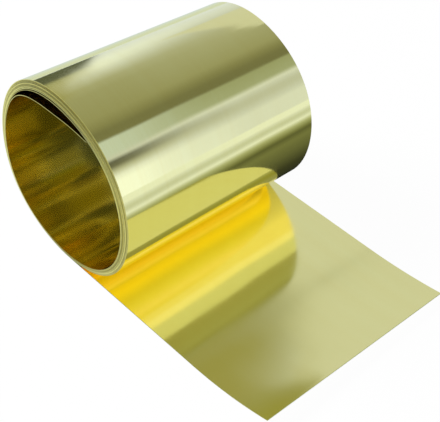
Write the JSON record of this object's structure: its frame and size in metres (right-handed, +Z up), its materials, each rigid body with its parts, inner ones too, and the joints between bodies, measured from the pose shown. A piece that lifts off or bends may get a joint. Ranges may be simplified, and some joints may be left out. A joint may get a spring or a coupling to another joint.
{
  "type": "roll of brass strip",
  "caption": "Roll of thin bright brass strip lying on its side, with a loose inner end in its bore and its outer end run out flat along the floor.",
  "frame": {"origin": "on the floor, under the middle of the whole object (middle of its length along X and of the strip's width)", "axes": "+X runs along the floor from the roll to the run-out end, Y is the axis of the roll, +Z is up"},
  "size_m": [0.1613, 0.1026, 0.0825],
  "materials": {
    "brass": "bright cold-rolled, with fine rolling lines along the strip"
  },
  "bodies": {
    "root": {"brass_strip": "brass"}
  },
  "joints": []
}
